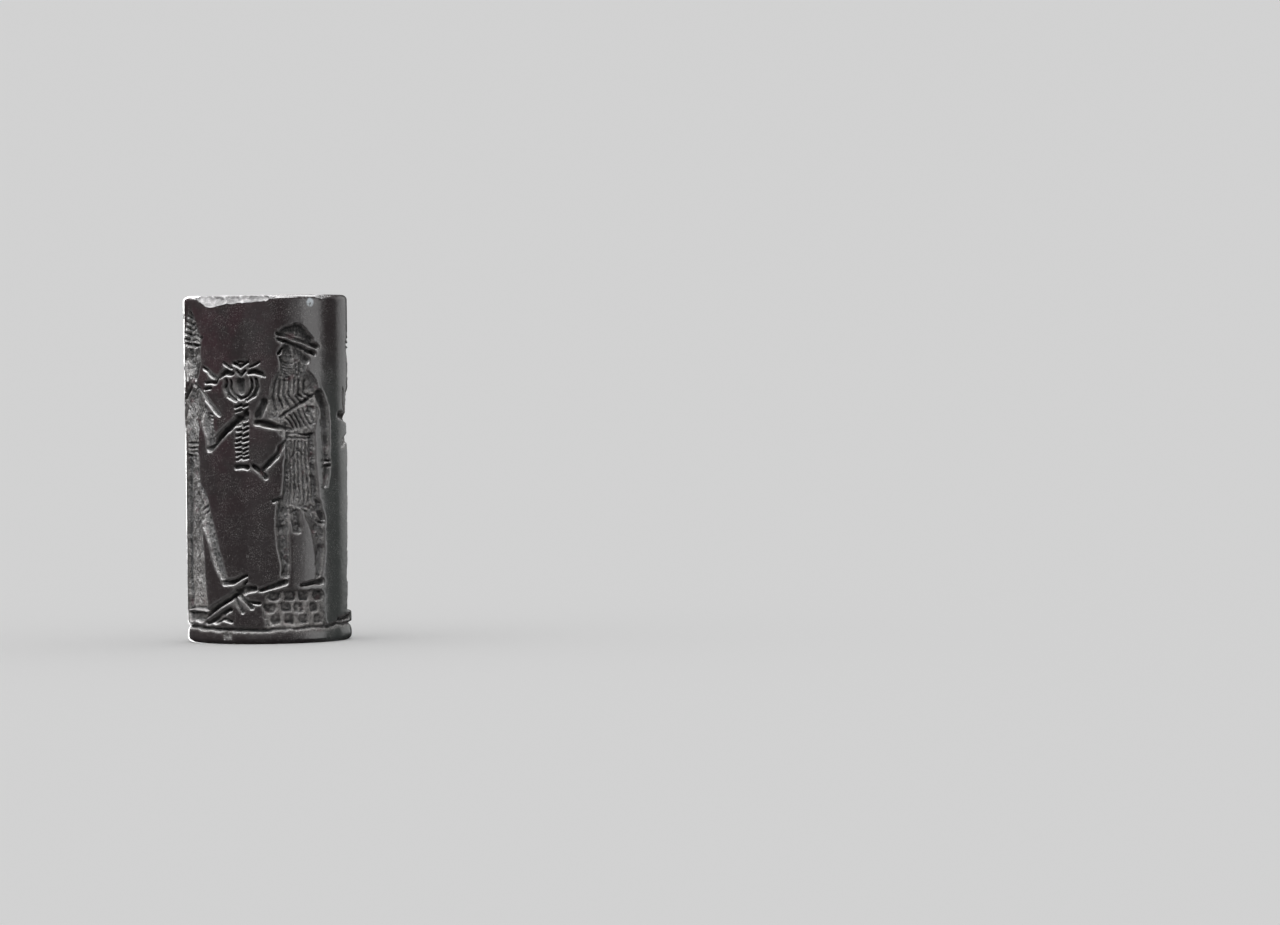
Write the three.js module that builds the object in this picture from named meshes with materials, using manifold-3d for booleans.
import * as THREE from 'three';
import { mergeVertices } from 'three/addons/utils/BufferGeometryUtils.js';
import Module from 'manifold-3d';

// A haematite cylinder seal, standing on its plain lower end. Millimetres, +Z up, with the
// origin in the middle of the lower end. The scene is cut into the stone as a mirror image,
// so that it reads the right way round when the seal is rolled on clay.
//
// Carved things are placed on the unrolled side of the cylinder: s runs round the seal from
// the front (-Y), positive towards +X, z runs up, and depth is measured inwards.

const sealHeight = 27.0;
const sealRadius = 6.4;
const endRounding = 0.35;        // worn edge of both ends
const boreRadius = 1.6;          // string hole along the axis
const boreChamfer = 0.3;
const roundSteps = 40;           // facets round the side
const boreSteps = 16;
const standProud = 0.25;         // how far a cutter reaches out of the stone
const longestChord = 1.5;        // longest straight step of a cutter round the side

// Depths of the carving.
const bodyDepth = 0.52;
const headDepth = 0.44;
const limbDepth = 0.36;
const dressDepth = 0.34;
const foldDepth = 0.14;          // folds and fringes, below the floor of their form
const frameDepth = 0.12;         // lines round the inscription
const strokeDepth = 0.18;        // its strokes

// Axes and levels of the scene.
const groundLevel = 1.4;         // top of the plain band that the scene stands on
const kingAxis = 2.4;
const maceAxis = -2.0;
const warriorAxis = -7.4;        // the armed goddess, seen from the front
const attendantAxis = 10.5;      // the goddess with raised hands
const panelLeft = -25.5;         // first frame line of the inscription
const panelRight = -12.8;
const panelTop = 26.0;
const panelFoot = 1.2;
const panelColumns = 3;

const wasm = await Module();
wasm.setup();

// ---- making and joining solids -------------------------------------------------------------

// A closed geometry becomes a manifold solid once its shared vertices are merged.
function solidFrom(geometry) {
  const bare = geometry.clone();
  bare.deleteAttribute('normal');
  bare.deleteAttribute('uv');
  const merged = mergeVertices(bare, 1e-5);
  return new wasm.Manifold(new wasm.Mesh({
    numProp: 3,
    vertProperties: new Float32Array(merged.attributes.position.array),
    triVerts: new Uint32Array(merged.index.array),
  }));
}

// A point of the unrolled side, carried to its place in the stone.
function onSeal(s, z, depth) {
  const angle = s / sealRadius;
  const radius = sealRadius - depth;
  return new THREE.Vector3(radius * Math.sin(angle), -radius * Math.cos(angle), z);
}

// Moves every vertex of a geometry by a function of its position.
function mapVertices(geometry, place) {
  const position = geometry.attributes.position;
  const point = new THREE.Vector3();
  for (let i = 0; i < position.count; i += 1) {
    point.fromBufferAttribute(position, i);
    const moved = place(point);
    position.setXYZ(i, moved.x, moved.y, moved.z);
  }
  return geometry;
}

// Splits a way of [s, z, half width] stations so that no step goes far round the side.
function refineWay(way) {
  const fine = [way[0]];
  for (let i = 1; i < way.length; i += 1) {
    const from = way[i - 1];
    const to = way[i];
    const count = Math.max(1, Math.ceil(Math.abs(to[0] - from[0]) / longestChord));
    for (let k = 1; k <= count; k += 1) {
      fine.push(from.map((value, axis) => value + (to[axis] - value) * k / count));
    }
  }
  return fine;
}

// A trough along a way of [s, z, half width] stations: full depth over its middle, walls that
// slope in from both sides, and ends that slope in too unless they are blunt.
function trough(depth, way, { blunt = false, floor = 0.45 } = {}) {
  const stations = refineWay(way);
  if (!blunt) {
    const first = stations[0];
    const last = stations[stations.length - 1];
    const next = stations.length > 1 ? stations[1] : last;
    const before = stations[stations.length - 2];
    stations.unshift(endStation(first, next));
    stations.push(endStation(last, before));
  }
  const widest = Math.max(...way.map((station) => station[2]));
  const across = 2 * Math.ceil(widest * floor / longestChord) + 1;
  const along = stations.length - 1;
  const geometry = new THREE.BoxGeometry(2, along, 2, across, along, 1);
  const lastDepth = stations.map((station, i) => {
    const sloped = !blunt && (i === 0 || i === along);
    return sloped ? 0 : depth;
  });
  return solidFrom(mapVertices(geometry, (point) => {
    const index = Math.round(point.y + along / 2);
    const station = stations[index];
    const heading = headingAt(stations, index);
    const edge = Math.abs(point.x) > 0.999;
    const side = edge ? Math.sign(point.x) : point.x * floor * across / (across - 2);
    const s = station[0] + heading.y * side * station[2];
    const z = station[1] - heading.x * side * station[2];
    const sunk = edge ? 0 : lastDepth[index];
    return onSeal(s, z, point.z > 0 ? -standProud : sunk);
  }));
}

// The direction of a way at one of its stations.
function headingAt(stations, index) {
  const before = stations[Math.max(0, index - 1)];
  const after = stations[Math.min(stations.length - 1, index + 1)];
  return new THREE.Vector2(after[0] - before[0], after[1] - before[1]).normalize();
}

// The rounded-off end of a way: a little beyond the last station, and narrower.
function endStation(end, inner) {
  const heading = new THREE.Vector2(end[0] - inner[0], end[1] - inner[1]).normalize();
  const reach = end[2] * 0.6;
  return [end[0] + heading.x * reach, end[1] + heading.y * reach, end[2] * 0.55];
}

// A V-shaped cut along a way of [s, z, half width] stations, as a wheel or a point leaves it.
// A fold inside a deeper form starts from that form's floor.
function groove(depth, way, floorDepth = 0) {
  const stations = refineWay(way);
  const along = stations.length - 1;
  const geometry = new THREE.CylinderGeometry(1, 1, along, 4, along);
  return solidFrom(mapVertices(geometry, (point) => {
    const index = Math.round(point.y + along / 2);
    const station = stations[index];
    const heading = headingAt(stations, index);
    const reach = point.x * station[2];
    const sunk = point.z > 0.5 ? -standProud : floorDepth + Math.max(0, -point.z) * depth;
    return onSeal(station[0] + heading.y * reach, station[1] - heading.x * reach, sunk);
  }));
}

// A round pit as a drill leaves it.
function pit(s, z, radius, depth) {
  const profile = [
    new THREE.Vector2(0, -depth),
    new THREE.Vector2(radius * 0.6, -depth * 0.75),
    new THREE.Vector2(radius, 0),
    new THREE.Vector2(radius, standProud),
    new THREE.Vector2(0, standProud),
  ];
  const geometry = new THREE.LatheGeometry(profile, 7).rotateX(Math.PI / 2);
  return solidFrom(mapVertices(geometry, (point) => onSeal(s + point.x, z + point.y, -point.z)));
}

// Folds side by side in the floor of a form, from one fold's place to another's.
function foldFan(count, floorDepth, first, last) {
  return Array.from({ length: count }, (_, i) => {
    const share = count > 1 ? i / (count - 1) : 0;
    const way = first.map((station, k) => station.map((v, axis) => v + (last[k][axis] - v) * share));
    return groove(foldDepth, way, floorDepth);
  });
}

// ---- the stone -----------------------------------------------------------------------------

// The cylinder with worn end edges and the bore through it.
function stoneBlank() {
  const r = sealRadius;
  const h = sealHeight;
  const e = endRounding;
  const outline = [
    [r - 1.5 * e, 0], [r - 0.45 * e, 0.35 * e], [r, 1.3 * e],
    [r, h - 1.3 * e], [r - 0.45 * e, h - 0.35 * e], [r - 1.5 * e, h], [0, h],
  ];
  const points = [new THREE.Vector2(0, 0), ...outline.map(([x, y]) => new THREE.Vector2(x, y))];
  const body = solidFrom(new THREE.LatheGeometry(points, roundSteps).rotateX(Math.PI / 2));
  const b = boreRadius;
  const c = boreChamfer;
  const hole = [[0, -1], [b + c + 1, -1], [b + c, 0], [b, c], [b, h - c], [b + c, h], [b + c + 1, h + 1], [0, h + 1]];
  const holePoints = hole.map(([x, y]) => new THREE.Vector2(x, y));
  const bore = solidFrom(new THREE.LatheGeometry(holePoints, boreSteps).rotateX(Math.PI / 2));
  return body.subtract(bore);
}

// A flake broken off an end edge: a rough lump centred just outside the edge.
function edgeFlake(angle, level, [alongEdge, upwards, inwards]) {
  const geometry = mapVertices(new THREE.IcosahedronGeometry(1, 1), (point) => {
    const rough = 1 + 0.12 * Math.sin(5 * point.x + 3 * point.y + 7 * point.z);
    const s = angle * sealRadius + point.x * alongEdge * rough;
    return onSeal(s, level + point.y * upwards * rough, -point.z * inwards * rough);
  });
  return solidFrom(geometry);
}

function flakes() {
  const degree = Math.PI / 180;
  return [
    edgeFlake(-38 * degree, sealHeight + 0.25, [1.5, 1.25, 0.9]),
    edgeFlake(-17 * degree, sealHeight + 0.3, [1.6, 0.9, 0.8]),
    edgeFlake(44 * degree, sealHeight + 0.1, [0.35, 0.45, 0.35]),
    edgeFlake(-200 * degree, -0.1, [0.7, 0.5, 0.45]),
  ];
}

// ---- the carving ---------------------------------------------------------------------------

// The king: round cap with a thick brim, long beard, wrapped robe, one hand on a mace. He
// stands on a scaled mountain and looks towards -s.
function kingCuts() {
  const a = kingAxis;
  return [
    // Cap, its two brim bands, and the hair under them.
    trough(headDepth, [[a - 1.0, 24.15, 0.3], [a + 0.1, 24.05, 0.72], [a + 1.2, 23.35, 0.4]]),
    groove(headDepth + 0.1, [[a - 1.45, 24.05, 0.16], [a + 1.9, 22.95, 0.2]]),
    groove(headDepth + 0.1, [[a - 1.3, 23.65, 0.15], [a + 1.6, 22.4, 0.2]]),
    trough(limbDepth, [[a + 0.3, 22.7, 0.5], [a + 0.7, 21.9, 0.35]]),
    // Face, nose, neck and beard.
    trough(headDepth, [[a - 0.65, 23.0, 0.5], [a - 0.6, 21.8, 0.48]]),
    groove(headDepth, [[a - 1.15, 22.7, 0.1], [a - 1.5, 22.2, 0.16]]),
    trough(limbDepth, [[a - 0.55, 21.6, 0.62], [a - 0.5, 20.5, 0.55]]),
    trough(limbDepth, [[a + 0.25, 21.8, 0.4], [a + 0.25, 20.0, 0.6]], { blunt: true }),
    // Chest, narrowing to the belt.
    trough(bodyDepth, [[a - 0.2, 20.2, 1.15], [a - 0.1, 19.4, 2.2], [a - 0.2, 18.3, 2.35],
      [a - 0.1, 17.3, 1.8], [a + 0.3, 16.2, 1.2]], { blunt: true }),
    // Hanging arm with its double bracelet and hand.
    trough(limbDepth + 0.04, [[a + 2.2, 19.3, 0.42], [a + 2.7, 17.9, 0.42], [a + 2.75, 16.2, 0.38],
      [a + 2.8, 14.4, 0.27]]),
    groove(limbDepth + 0.1, [[a + 2.35, 14.1, 0.14], [a + 3.2, 14.1, 0.14]]),
    groove(limbDepth + 0.1, [[a + 2.35, 13.7, 0.14], [a + 3.2, 13.7, 0.14]]),
    trough(limbDepth, [[a + 2.7, 13.3, 0.3], [a + 2.55, 12.3, 0.28]]),
    // Bent arm, and the mace that its hand holds across the body.
    trough(limbDepth, [[a - 2.65, 18.6, 0.34], [a - 3.2, 17.4, 0.34]]),
    trough(bodyDepth + 0.1, [[a - 3.1, 17.2, 0.28], [a - 0.2, 16.5, 0.26]]),
    groove(limbDepth, [[a - 0.4, 16.2, 0.24], [a - 2.9, 13.4, 0.28]]),
    groove(limbDepth + 0.06, [[a - 3.5, 13.9, 0.26], [a - 2.5, 12.85, 0.26]]),
    // Kilt, its trailing corner and its hanging fringe.
    trough(bodyDepth, [[a + 0.35, 16.3, 1.15], [a + 0.25, 13.4, 1.4], [a + 0.25, 10.8, 1.5]],
      { blunt: true }),
    trough(dressDepth, [[a + 1.55, 11.8, 0.35], [a + 2.1, 9.9, 0.35]]),
    trough(dressDepth, [[a - 0.5, 11.4, 0.45], [a - 0.15, 8.9, 0.32]]),
    // Legs and feet.
    trough(limbDepth, [[a - 1.1, 10.8, 0.62], [a - 1.3, 8.9, 0.6], [a - 1.1, 5.4, 0.32]]),
    trough(limbDepth, [[a - 1.25, 4.75, 0.3], [a - 3.0, 4.4, 0.18]]),
    trough(limbDepth + 0.06, [[a + 1.2, 10.4, 0.75], [a + 1.75, 8.9, 0.68], [a + 1.8, 5.5, 0.34]]),
    trough(limbDepth, [[a + 2.0, 4.8, 0.3], [a + 0.3, 4.5, 0.2]]),
    // Folds over the chest and down the kilt.
    ...foldFan(4, bodyDepth, [[a - 0.7, 19.8, 0.12], [a - 1.2, 17.9, 0.15]],
      [[a + 0.5, 20.0, 0.12], [a + 1.1, 18.9, 0.15]]),
    ...foldFan(4, bodyDepth, [[a - 0.2, 15.7, 0.1], [a - 0.4, 11.6, 0.15]],
      [[a + 0.9, 15.7, 0.1], [a + 0.9, 11.6, 0.15]]),
  ];
}

// The mountain under the king: rows of scales between its top and the ground.
function mountainCuts() {
  const top = 4.05;
  const rows = 3;
  const scales = 4;
  const scalePitch = 1.2;
  const rowHeight = (top - groundLevel) / rows;
  const cuts = [];
  for (let row = 0; row < rows; row += 1) {
    const level = top - rowHeight * (row + 0.5);
    for (let i = 0; i < scales; i += 1) {
      const s = (i + (row % 2 ? 0.1 : 0.4)) * scalePitch;
      cuts.push(groove(dressDepth, [[s, level + 0.36, 0.54], [s, level - 0.36, 0.44]]));
    }
  }
  return cuts;
}

// The double lion-headed mace in front of the armed goddess.
function maceCuts() {
  const a = maceAxis;
  const cuts = [
    groove(limbDepth, [[a - 0.6, 21.7, 0.22], [a + 0.75, 21.7, 0.22]]),
    trough(limbDepth, [[a - 0.05, 20.05, 0.42], [a, 19.6, 0.38]]),
    trough(dressDepth, [[a, 18.8, 0.42], [a, 14.2, 0.42]], { blunt: true }),
    groove(limbDepth, [[a - 0.5, 13.7, 0.26], [a + 0.5, 13.7, 0.26]]),
  ];
  for (const side of [-1, 1]) {
    cuts.push(groove(limbDepth + 0.05, [[a + side * 0.7, 20.95, 0.28], [a + side * 1.9, 21.0, 0.24]]));
    cuts.push(groove(limbDepth, [[a + side * 0.65, 21.45, 0.12], [a + side * 1.5, 21.85, 0.16]]));
    cuts.push(groove(limbDepth, [[a + side * 1.4, 20.5, 0.17], [a + side * 1.3, 19.4, 0.2],
      [a + side * 0.6, 18.8, 0.17]]));
    cuts.push(groove(limbDepth, [[a + side * 0.85, 20.3, 0.15], [a + side * 0.75, 19.5, 0.17],
      [a + side * 0.1, 18.95, 0.15]]));
  }
  return cuts;
}

// The armed goddess: horned crown, weapons at her shoulders, one leg bared and set on a lion.
function warriorCuts() {
  const a = warriorAxis;
  const tiers = 5;
  const cuts = [
    // Crown, head and neck.
    trough(headDepth, [[a, 25.3, 0.3], [a, 23.6, 0.85]]),
    trough(bodyDepth, [[a, 22.9, 1.15], [a, 21.6, 1.05], [a, 20.6, 0.7]]),
    trough(limbDepth, [[a + 0.1, 20.5, 0.6], [a + 0.1, 19.1, 0.7]], { blunt: true }),
    // Chest and waist, and the long skirt with its deep hem.
    trough(bodyDepth, [[a, 19.3, 1.4], [a, 18.4, 2.1], [a - 0.1, 17.0, 1.5], [a - 0.1, 14.6, 1.15]],
      { blunt: true }),
    trough(bodyDepth, [[a - 0.15, 14.7, 1.25], [a - 0.2, 8.0, 1.6], [a - 0.2, 2.3, 2.1]],
      { blunt: true }),
    trough(bodyDepth + 0.1, [[a - 2.1, 2.35, 0.3], [a + 1.9, 2.35, 0.3]]),
    // Hanging arm, bracelets, and the curved sword held down by its cord.
    trough(limbDepth, [[a - 2.1, 18.2, 0.45], [a - 2.6, 15.4, 0.42], [a - 2.7, 12.9, 0.32]]),
    groove(limbDepth + 0.1, [[a - 3.2, 12.5, 0.32], [a - 2.2, 12.5, 0.32]]),
    trough(limbDepth, [[a - 2.7, 12.0, 0.28], [a - 2.6, 11.4, 0.25]]),
    groove(dressDepth, [[a - 2.7, 11.2, 0.17], [a - 2.75, 6.0, 0.17]]),
    groove(dressDepth, [[a - 3.1, 5.7, 0.2], [a - 4.25, 3.6, 0.36], [a - 2.8, 1.9, 0.26]]),
    // Bent arm that reaches for the mace.
    trough(limbDepth + 0.04, [[a + 1.75, 18.1, 0.45], [a + 2.45, 15.6, 0.42]]),
    trough(bodyDepth + 0.1, [[a + 2.45, 15.3, 0.36], [a + 5.2, 17.5, 0.28]]),
    trough(limbDepth, [[a + 5.1, 17.3, 0.3], [a + 6.1, 17.8, 0.26]]),
    // Bare leg with its garter, and the foot.
    trough(bodyDepth, [[a + 1.0, 12.2, 0.7], [a + 1.6, 10.9, 0.75], [a + 2.3, 8.7, 0.6],
      [a + 3.6, 5.3, 0.3]]),
    groove(bodyDepth + 0.1, [[a + 0.9, 10.2, 0.17], [a + 2.3, 10.85, 0.17]]),
    groove(limbDepth, [[a + 3.7, 4.8, 0.3], [a + 5.7, 5.2, 0.18]]),
  ];
  for (let tier = 0; tier < tiers; tier += 1) {
    const level = 23.5 + 0.42 * tier;
    const half = 1.75 - 0.3 * tier;
    cuts.push(groove(headDepth + 0.06, [[a - half, level + 0.15, 0.12], [a, level - 0.05, 0.22],
      [a + half, level + 0.15, 0.12]]));
  }
  for (const side of [-1, 1]) {
    // Lock that falls from the neck over the shoulder, and the weapons that rise behind it.
    cuts.push(groove(limbDepth + 0.05, [[a + side * 0.7, 19.9, 0.17], [a + side * 2.2, 19.0, 0.18],
      [a + side * 3.3, 17.8, 0.18]]));
    cuts.push(groove(limbDepth, [[a + side * 1.9, 20.9, 0.15], [a + side * 3.2, 20.5, 0.3]]));
    cuts.push(groove(dressDepth, [[a + side * 2.0, 21.5, 0.15], [a + side * 3.0, 20.8, 0.18]]));
  }
  cuts.push(...foldFan(4, bodyDepth, [[a - 0.7, 14.0, 0.08], [a - 1.1, 3.2, 0.16]],
    [[a + 0.4, 14.0, 0.08], [a + 0.7, 3.2, 0.16]]));
  for (const level of [14.9, 15.5]) {
    cuts.push(groove(foldDepth, [[a - 0.8, level, 0.2], [a + 0.6, level, 0.2]], bodyDepth));
  }
  return cuts;
}

// The crouching lion under the goddess's foot.
function lionCuts() {
  return [
    trough(limbDepth + 0.1, [[-6.0, 2.0, 0.26], [-2.7, 3.9, 0.28]]),
    trough(limbDepth, [[-2.5, 4.1, 0.35], [-1.2, 4.4, 0.28]]),
    groove(limbDepth, [[-5.6, 1.6, 0.22], [-3.2, 2.65, 0.26]]),
    groove(limbDepth, [[-2.85, 3.7, 0.2], [-2.15, 2.55, 0.2]]),
    groove(limbDepth, [[-2.4, 3.9, 0.2], [-1.4, 2.9, 0.2]]),
    groove(dressDepth, [[-1.7, 3.3, 0.17], [-0.8, 3.2, 0.17]]),
  ];
}

// The attendant goddess: raised hands, horned crown and a dress of six flounces.
function attendantCuts() {
  const a = attendantAxis;
  const cuts = [
    // Crown, the hair band round the head, the face and the bun at the nape.
    trough(headDepth, [[a + 0.5, 24.4, 0.25], [a + 0.7, 22.9, 1.1]]),
    groove(headDepth + 0.08, [[a - 1.6, 22.75, 0.2], [a + 0.1, 22.5, 0.35], [a + 2.4, 21.4, 0.26]]),
    groove(headDepth + 0.08, [[a - 1.3, 22.2, 0.2], [a + 1.9, 20.9, 0.3]]),
    trough(headDepth, [[a - 0.6, 21.2, 0.6], [a - 0.45, 19.9, 0.5]]),
    groove(headDepth, [[a - 1.15, 20.9, 0.1], [a - 1.4, 20.4, 0.16]]),
    trough(limbDepth, [[a + 0.4, 20.6, 0.5], [a + 0.4, 19.2, 0.5]]),
    trough(limbDepth, [[a + 1.3, 20.3, 0.45], [a + 1.3, 19.7, 0.4]]),
    // Body and the sleeve behind it.
    trough(bodyDepth + 0.1, [[a - 0.2, 19.2, 1.3], [a - 0.05, 18.2, 2.0], [a - 0.2, 17.0, 1.9],
      [a - 0.3, 13.8, 1.35]], { blunt: true }),
    trough(bodyDepth, [[a + 1.6, 18.2, 0.5], [a + 2.4, 17.2, 0.4]]),
    // Raised hands, their bracelets and the sleeve.
    groove(limbDepth, [[a - 1.7, 17.6, 0.28], [a - 1.7, 20.1, 0.18]]),
    groove(limbDepth, [[a - 2.7, 17.6, 0.24], [a - 2.9, 19.6, 0.16]]),
    trough(limbDepth, [[a - 3.6, 17.5, 0.3], [a - 2.4, 17.3, 0.35]]),
    trough(limbDepth, [[a - 2.9, 15.4, 0.3], [a - 1.6, 15.8, 0.4]]),
    // Feet, and the deep shadow under the hem.
    groove(limbDepth, [[a - 4.2, 1.65, 0.2], [a - 2.0, 1.75, 0.3]]),
    trough(bodyDepth + 0.1, [[a - 1.6, 1.8, 0.3], [a + 2.4, 1.7, 0.3]]),
  ];
  const hems = [13.1, 11.1, 9.1, 6.8, 4.4, 2.2];
  const fringes = 2;
  hems.forEach((hem, i) => {
    const above = i === 0 ? 14.6 : hems[i - 1];
    const half = 2.0 + 0.13 * i;
    const middle = a + 0.1;
    const spread = half * 0.6;
    cuts.push(trough(dressDepth - 0.08, [[middle, above, half * 0.86], [middle, hem + 0.1, half]],
      { blunt: true, floor: 0.8 }));
    cuts.push(groove(bodyDepth, [[middle - half, hem + 0.25, 0.22], [middle, hem, 0.28],
      [middle + half, hem - 0.35, 0.22]]));
    cuts.push(...foldFan(fringes, dressDepth - 0.08,
      [[middle - spread, above - 0.4, 0.12], [middle - spread * 1.1, hem + 0.3, 0.2]],
      [[middle + spread, above - 0.4, 0.12], [middle + spread * 1.1, hem + 0.3, 0.2]]));
  });
  return cuts;
}

// Ground line, small field motifs and drill marks.
function fieldCuts() {
  return [
    groove(dressDepth - 0.08, [[-12.4, 1.25, 0.16], [14.2, 1.25, 0.16]]),
    pit(-10.2, 23.1, 0.5, 0.25),
    pit(-3.3, 0.95, 0.45, 0.2),
    pit(-22.5, 0.75, 0.5, 0.25),
    pit(-24.8, 0.6, 0.45, 0.2),
  ];
}

// The inscription: frame lines and, between them, columns of plain wedge strokes that spell
// nothing. Each row has one long stroke and a group of short ones under it.
function inscriptionCuts() {
  const cuts = [];
  const columnWidth = (panelRight - panelLeft) / panelColumns;
  for (let line = 0; line <= panelColumns; line += 1) {
    const s = panelLeft + line * columnWidth;
    cuts.push(groove(frameDepth, [[s, panelFoot, 0.12], [s, panelTop, 0.12]]));
  }
  cuts.push(groove(frameDepth, [[panelLeft, panelTop, 0.12], [panelRight, panelTop, 0.12]]));
  const rowPitch = 3.4;
  const rowCount = 7;
  for (let column = 0; column < panelColumns; column += 1) {
    const middle = panelLeft + (column + 0.5) * columnWidth;
    for (let row = 0; row < rowCount; row += 1) {
      const level = panelTop - 1.2 - row * rowPitch;
      const bare = column === 0 && row % 3 === 1;
      if (!bare) cuts.push(...strokeRow(middle, level, 1 + (row + column) % 2, row % 2));
    }
  }
  return cuts;
}

// One row of the inscription: a long wedge, and short ones under it that may lean.
function strokeRow(middle, level, shortCount, leaning) {
  const shortPitch = 1.2;
  const lean = leaning * 0.4;
  const cuts = [wedge(middle - 1.2, level, middle + 1.25, level)];
  for (let i = 0; i < shortCount; i += 1) {
    const s = middle + (i - (shortCount - 1) / 2) * shortPitch;
    cuts.push(wedge(s, level - 0.45, s + lean, level - 1.5));
  }
  return cuts;
}

// One wedge stroke: a broad head and a tail that thins out.
function wedge(s, z, tailS, tailZ) {
  return groove(strokeDepth, [[s, z, 0.3], [tailS, tailZ, 0.08]]);
}

// ---- the seal ------------------------------------------------------------------------------

const carving = [
  ...fieldCuts(),
  ...kingCuts(),
  ...mountainCuts(),
  ...maceCuts(),
  ...warriorCuts(),
  ...lionCuts(),
  ...attendantCuts(),
  ...inscriptionCuts(),
  ...flakes(),
];
const cutter = carving.reduce((joined, cut) => joined.add(cut));
const carved = stoneBlank().subtract(cutter).getMesh();

const sealGeometry = new THREE.BufferGeometry();
sealGeometry.setAttribute('position', new THREE.BufferAttribute(carved.vertProperties, 3));
sealGeometry.setIndex(new THREE.BufferAttribute(carved.triVerts, 1));
sealGeometry.computeVertexNormals();

const haematite = new THREE.MeshStandardMaterial({ color: 0x2b2828, roughness: 0.38, metalness: 0.25 });
const seal = new THREE.Mesh(sealGeometry, haematite);
seal.name = 'cylinder_seal';

const part = new THREE.Group();
part.add(seal);

export default part;
